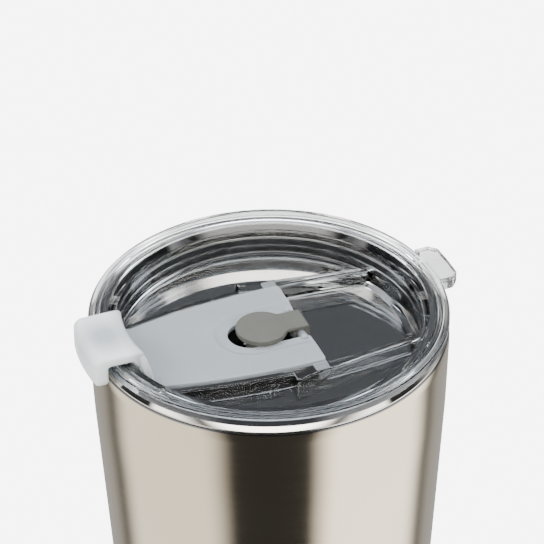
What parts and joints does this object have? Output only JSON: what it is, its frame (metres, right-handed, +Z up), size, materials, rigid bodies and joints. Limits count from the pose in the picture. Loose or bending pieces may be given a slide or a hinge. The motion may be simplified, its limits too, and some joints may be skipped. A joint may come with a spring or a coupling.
{
  "type": "insulated tumbler with lid",
  "caption": "Tapered vacuum-walled steel tumbler with a clear press-in lid, a hinged drinking flap that clips over the rim and a silicone straw plug.",
  "frame": {"origin": "centre of the ring that the tumbler stands on", "axes": "+Z up along the cup's axis and out of its mouth; -X towards the flap's clip, the side that is drunk from; +X towards the lid's thumb tab; Y along the flap's hinge"},
  "size_m": [0.0974, 0.0894, 0.1734],
  "materials": {
    "brushed_shell": "brushed round the cup, clear satin",
    "polished_liner": "polished lip, fine satin inside",
    "plain_steel": "mill finish, unseen",
    "getter_metal": "dull, unseen",
    "seal_glass": "fused solder glass, unseen",
    "brushed_base": "spun satin",
    "clear_lid": "clear moulded copolyester",
    "smoke_silicone": "dark smoke silicone, as it shows through the clear lid",
    "frosted_flap": "frosted translucent white",
    "white_silicone": "soft matt silicone",
    "grey_silicone": "soft matt silicone, warm grey"
  },
  "bodies": {
    "tumbler": {"outer_shell": "brushed_shell", "inner_vessel": "polished_liner", "vacuum_end_plate": "plain_steel", "getter_capsule": "getter_metal", "vacuum_seal_bead": "seal_glass", "base_cover": "brushed_base"},
    "gasket": {"lid_gasket": "smoke_silicone"},
    "lid": {"lid_body": "clear_lid"},
    "flap": {"flap": "frosted_flap", "sip_seal": "white_silicone"},
    "plug": {"straw_plug": "grey_silicone"}
  },
  "joints": [
    {"name": "lid_lift", "type": "slide", "parent": "tumbler", "child": "gasket", "axis": [0, 0, 1], "range_m": [0, 0.05]},
    {"name": "lid_turn", "type": "hinge", "parent": "gasket", "child": "lid", "pos_m": [0, 0, 0.1625], "axis": [0, 0, 1], "continuous": true},
    {"name": "flap_hinge", "type": "hinge", "parent": "lid", "child": "flap", "pos_m": [0.0068, 0, 0.1631], "axis": [0, 1, 0], "range_deg": [0, 95]},
    {"name": "plug_swing", "type": "hinge", "parent": "flap", "child": "plug", "pos_m": [0.0072, 0, 0.1633], "axis": [0, 1, 0], "range_deg": [0, 85]}
  ]
}
